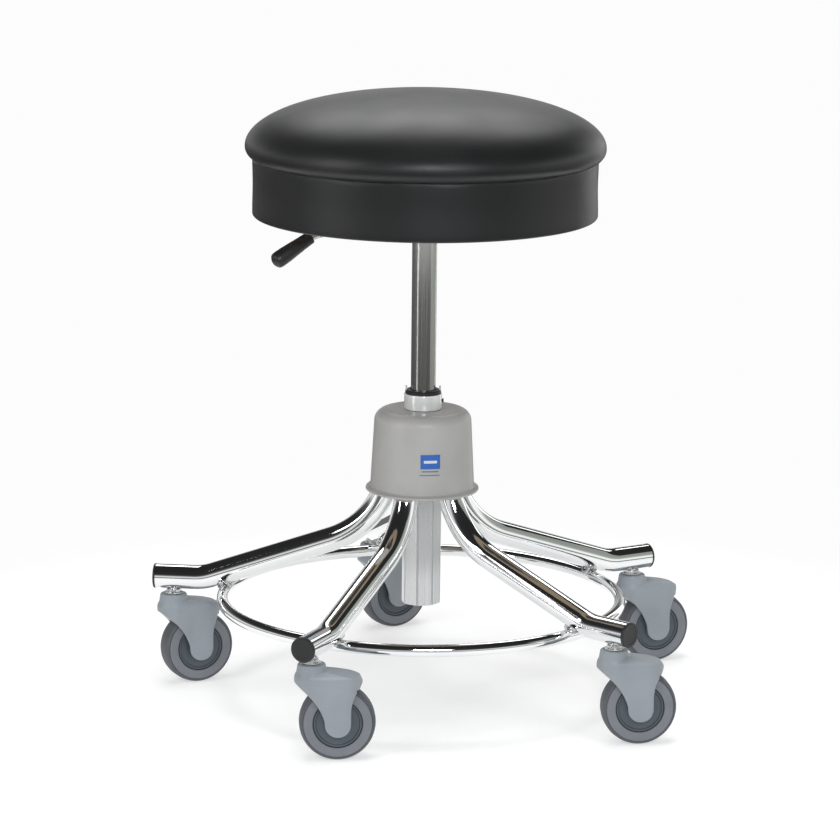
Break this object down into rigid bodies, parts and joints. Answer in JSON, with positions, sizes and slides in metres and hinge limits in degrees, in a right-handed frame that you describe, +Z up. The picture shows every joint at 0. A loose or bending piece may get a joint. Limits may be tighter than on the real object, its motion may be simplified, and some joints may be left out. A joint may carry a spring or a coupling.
{
  "type": "dentist stool",
  "caption": "Height-adjustable round stool: domed vinyl seat, gas-lift column with release lever, grey bell cover, bent chrome tube legs, foot ring and swivel casters.",
  "frame": {"origin": "on the floor, under the middle of the stool's box", "axes": "+Z up along the column, +X to the right and -Y towards the viewer in the front view"},
  "size_m": [0.5697, 0.5555, 0.6322],
  "materials": {
    "chrome": "polished",
    "steel": "satin",
    "dark_steel": "satin",
    "aluminium": "satin",
    "bell": "satin",
    "bush": "satin",
    "plug": "satin",
    "grip": "satin",
    "fork": "satin",
    "core": "satin",
    "tyre": "matte",
    "cushion": "satin",
    "vinyl": "satin",
    "board": "matte"
  },
  "bodies": {
    "base": {"leg_1": "chrome", "leg_2": "chrome", "leg_3": "chrome", "leg_4": "chrome", "leg_5": "chrome", "leg_plug_1": "plug", "leg_plug_2": "plug", "leg_plug_3": "plug", "leg_plug_4": "plug", "leg_plug_5": "plug", "caster_stem_1": "steel", "caster_stem_2": "steel", "caster_stem_3": "steel", "caster_stem_4": "steel", "caster_stem_5": "steel", "foot_ring": "chrome", "outer_column": "aluminium", "column_base_plate": "dark_steel", "column_bush": "bush", "column_collar": "chrome", "collar_screw": "dark_steel", "bell_cover": "bell", "hub_plate": "dark_steel", "thrust_washer": "steel"},
    "rod": {"piston_rod": "steel", "rod_clip": "dark_steel"},
    "seat": {"gas_cylinder": "steel", "seat_plate": "dark_steel", "seat_board": "board", "seat_boxing": "vinyl", "seat_cushion": "cushion", "lever_pin": "steel", "plate_screw_1": "steel", "plate_screw_2": "steel", "plate_screw_3": "steel", "plate_screw_4": "steel"},
    "lever": {"lever_rod": "steel", "lever_grip": "grip"},
    "release": {"release_pin": "dark_steel"},
    "caster_1": {"caster_fork_1": "fork", "caster_axle_1": "dark_steel"},
    "wheel_1": {"wheel_core_1": "core", "wheel_tyre_1": "tyre"},
    "caster_2": {"caster_fork_2": "fork", "caster_axle_2": "dark_steel"},
    "wheel_2": {"wheel_core_2": "core", "wheel_tyre_2": "tyre"},
    "caster_3": {"caster_fork_3": "fork", "caster_axle_3": "dark_steel"},
    "wheel_3": {"wheel_core_3": "core", "wheel_tyre_3": "tyre"},
    "caster_4": {"caster_fork_4": "fork", "caster_axle_4": "dark_steel"},
    "wheel_4": {"wheel_core_4": "core", "wheel_tyre_4": "tyre"},
    "caster_5": {"caster_fork_5": "fork", "caster_axle_5": "dark_steel"},
    "wheel_5": {"wheel_core_5": "core", "wheel_tyre_5": "tyre"}
  },
  "joints": [
    {"name": "seat_swivel", "type": "hinge", "parent": "base", "child": "rod", "pos_m": [-0.004, -0.017, 0.11], "axis": [0, 0, 1], "continuous": true},
    {"name": "seat_lift", "type": "slide", "parent": "rod", "child": "seat", "axis": [0, 0, 1], "range_m": [-0.13, 0]},
    {"name": "lever_pull", "type": "hinge", "parent": "seat", "child": "lever", "pos_m": [-0.03225, -0.03202, 0.4985], "axis": [-0.4695, 0.8829, 0], "range_deg": [0, 4], "stiffness_Nm_per_rad": 0.8, "springref_deg": -8.59},
    {"name": "release_press", "type": "slide", "parent": "seat", "child": "release", "axis": [0, 0, 1], "range_m": [-0.0025, 0]},
    {"name": "caster_swivel_1", "type": "hinge", "parent": "base", "child": "caster_1", "pos_m": [0.22315, 0.11256, 0.09], "axis": [0, 0, 1], "continuous": true},
    {"name": "wheel_spin_1", "type": "hinge", "parent": "caster_1", "child": "wheel_1", "pos_m": [0.24722, 0.12156, 0.038], "axis": [-0.3502, 0.9367, 0], "continuous": true},
    {"name": "caster_swivel_2", "type": "hinge", "parent": "base", "child": "caster_2", "pos_m": [-0.05703, 0.23907, 0.09], "axis": [0, 0, 1], "continuous": true},
    {"name": "wheel_spin_2", "type": "hinge", "parent": "caster_2", "child": "wheel_2", "pos_m": [-0.03434, 0.25113, 0.038], "axis": [-0.4695, 0.8829, 0], "continuous": true},
    {"name": "caster_swivel_3", "type": "hinge", "parent": "base", "child": "caster_3", "pos_m": [-0.26392, 0.0117, 0.09], "axis": [0, 0, 1], "continuous": true},
    {"name": "wheel_spin_3", "type": "hinge", "parent": "caster_3", "child": "wheel_3", "pos_m": [-0.24063, 0.02256, 0.038], "axis": [-0.4226, 0.9063, 0], "continuous": true},
    {"name": "caster_swivel_4", "type": "hinge", "parent": "base", "child": "caster_4", "pos_m": [-0.11161, -0.25533, 0.09], "axis": [0, 0, 1], "continuous": true},
    {"name": "wheel_spin_4", "type": "hinge", "parent": "caster_4", "child": "wheel_4", "pos_m": [-0.08597, -0.25354, 0.038], "axis": [-0.0698, 0.9976, 0], "continuous": true},
    {"name": "caster_swivel_5", "type": "hinge", "parent": "base", "child": "caster_5", "pos_m": [0.18941, -0.19299, 0.09], "axis": [0, 0, 1], "continuous": true},
    {"name": "wheel_spin_5", "type": "hinge", "parent": "caster_5", "child": "wheel_5", "pos_m": [0.21486, -0.18942, 0.038], "axis": [-0.1392, 0.9903, 0], "continuous": true}
  ],
  "couplings": [
    {"joint": "release_press", "follows": "lever_pull", "m_per_rad": -0.032}
  ]
}
